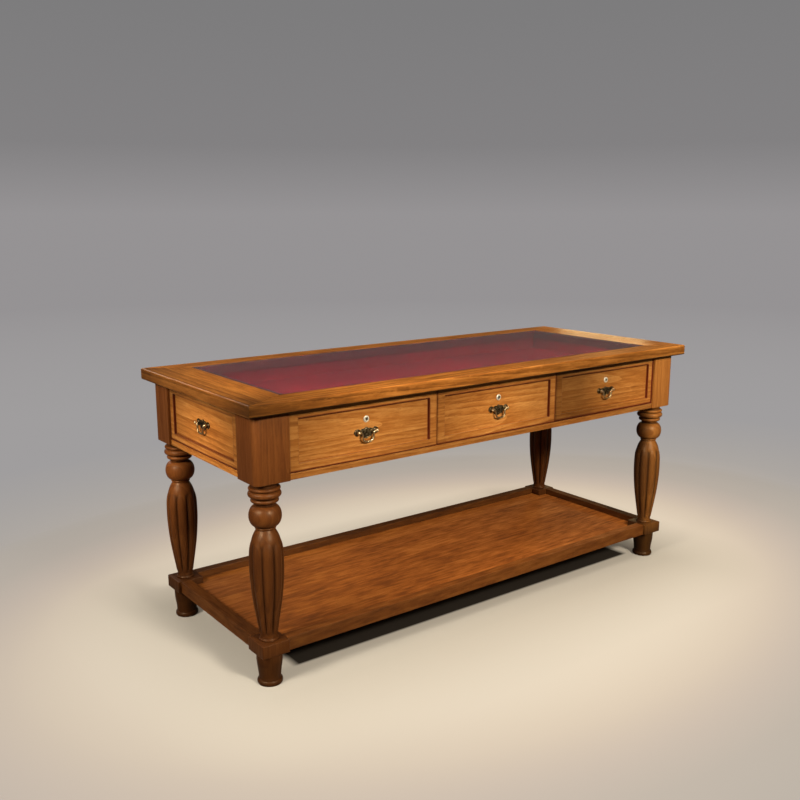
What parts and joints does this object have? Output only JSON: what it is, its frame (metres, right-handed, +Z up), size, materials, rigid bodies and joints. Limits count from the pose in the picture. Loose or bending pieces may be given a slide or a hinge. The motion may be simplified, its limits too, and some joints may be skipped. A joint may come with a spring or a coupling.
{
  "type": "jewelry display case",
  "caption": "Oak display table with a hinged glazed lid over a velvet-lined well, locking drawers with drop handles, reeded turned legs and a low tray shelf.",
  "frame": {"origin": "on the floor, under the middle of the table", "axes": "+X along the length, to the right seen from the drawers; +Y from the drawers to the back; +Z up"},
  "size_m": [2, 0.8, 0.91],
  "materials": {
    "oak": "satin lacquered oak, warm honey brown",
    "oak_dark": "satin lacquered oak, darker on the turned legs",
    "oak_shelf": "satin lacquered oak, reddish brown",
    "oak_pale": "plain sanded oak, unstained inside the case",
    "velvet": "maroon velvet",
    "glass": "clear toughened glass",
    "brass": "antique brass, dark in the hollows",
    "nickel": "polished nickel"
  },
  "bodies": {
    "case": {"leg_front_left": "oak_dark", "leg_front_right": "oak_dark", "leg_back_left": "oak_dark", "leg_back_right": "oak_dark", "shelf_rail_front": "oak_shelf", "shelf_rail_back": "oak_shelf", "shelf_rail_left": "oak_shelf", "shelf_rail_right": "oak_shelf", "shelf_panel": "oak_shelf", "bottom_rail_front": "oak", "bottom_rail_left": "oak", "bottom_rail_right": "oak", "back_apron": "oak", "lock_rail": "oak_pale", "drawer_divider_1": "oak_pale", "drawer_divider_2": "oak_pale", "drawer_runner_left": "oak_pale", "drawer_runner_right": "oak_pale", "display_deck": "oak_pale", "well_wall_front": "velvet", "well_wall_back": "velvet", "well_wall_left": "velvet", "well_wall_right": "velvet", "velvet_floor": "velvet", "hinge_case_leaf": "brass", "hinge_pin": "brass", "end_front_left": "oak", "end_front_right": "oak", "pull_plate_left": "brass", "pull_plate_right": "brass"},
    "lid": {"lid_rail_front": "oak", "lid_rail_back": "oak", "lid_rail_left": "oak", "lid_rail_right": "oak", "lid_glass": "glass", "hinge_lid_leaf": "brass"},
    "drawer_1": {"drawer_1_front": "oak", "drawer_1_box": "oak_pale", "drawer_1_bottom": "oak_pale", "pull_plate_1": "brass", "lock_barrel_1": "nickel"},
    "drawer_2": {"drawer_2_front": "oak", "drawer_2_box": "oak_pale", "drawer_2_bottom": "oak_pale", "pull_plate_2": "brass", "lock_barrel_2": "nickel"},
    "drawer_3": {"drawer_3_front": "oak", "drawer_3_box": "oak_pale", "drawer_3_bottom": "oak_pale", "pull_plate_3": "brass", "lock_barrel_3": "nickel"},
    "bail_1": {"pull_bail_1": "brass"},
    "bail_2": {"pull_bail_2": "brass"},
    "bail_3": {"pull_bail_3": "brass"},
    "bail_left": {"pull_bail_left": "brass"},
    "bail_right": {"pull_bail_right": "brass"},
    "lock_1": {"lock_plug_1": "nickel"},
    "lock_2": {"lock_plug_2": "nickel"},
    "lock_3": {"lock_plug_3": "nickel"}
  },
  "joints": [
    {"name": "lid_hinge", "type": "hinge", "parent": "case", "child": "lid", "pos_m": [0, 0.3738, 0.8667], "axis": [-1, 0, 0], "range_deg": [0, 100]},
    {"name": "drawer_1_slide", "type": "slide", "parent": "case", "child": "drawer_1", "axis": [0, -1, 0], "range_m": [0, 0.42]},
    {"name": "drawer_2_slide", "type": "slide", "parent": "case", "child": "drawer_2", "axis": [0, -1, 0], "range_m": [0, 0.42]},
    {"name": "drawer_3_slide", "type": "slide", "parent": "case", "child": "drawer_3", "axis": [0, -1, 0], "range_m": [0, 0.42]},
    {"name": "bail_1_swing", "type": "hinge", "parent": "drawer_1", "child": "bail_1", "pos_m": [-0.56783, -0.3675, 0.766], "axis": [-1, 0, 0], "range_deg": [0, 95]},
    {"name": "bail_2_swing", "type": "hinge", "parent": "drawer_2", "child": "bail_2", "pos_m": [0, -0.3675, 0.766], "axis": [-1, 0, 0], "range_deg": [0, 95]},
    {"name": "bail_3_swing", "type": "hinge", "parent": "drawer_3", "child": "bail_3", "pos_m": [0.56783, -0.3675, 0.766], "axis": [-1, 0, 0], "range_deg": [0, 95]},
    {"name": "bail_left_swing", "type": "hinge", "parent": "case", "child": "bail_left", "pos_m": [-0.9675, 0, 0.779], "axis": [0, 1, 0], "range_deg": [0, 95]},
    {"name": "bail_right_swing", "type": "hinge", "parent": "case", "child": "bail_right", "pos_m": [0.9675, 0, 0.779], "axis": [0, -1, 0], "range_deg": [0, 95]},
    {"name": "lock_1_turn", "type": "hinge", "parent": "drawer_1", "child": "lock_1", "pos_m": [-0.56783, -0.3555, 0.806], "axis": [0, -1, 0], "range_deg": [0, 90]},
    {"name": "lock_2_turn", "type": "hinge", "parent": "drawer_2", "child": "lock_2", "pos_m": [0, -0.3555, 0.806], "axis": [0, -1, 0], "range_deg": [0, 90]},
    {"name": "lock_3_turn", "type": "hinge", "parent": "drawer_3", "child": "lock_3", "pos_m": [0.56783, -0.3555, 0.806], "axis": [0, -1, 0], "range_deg": [0, 90]}
  ]
}
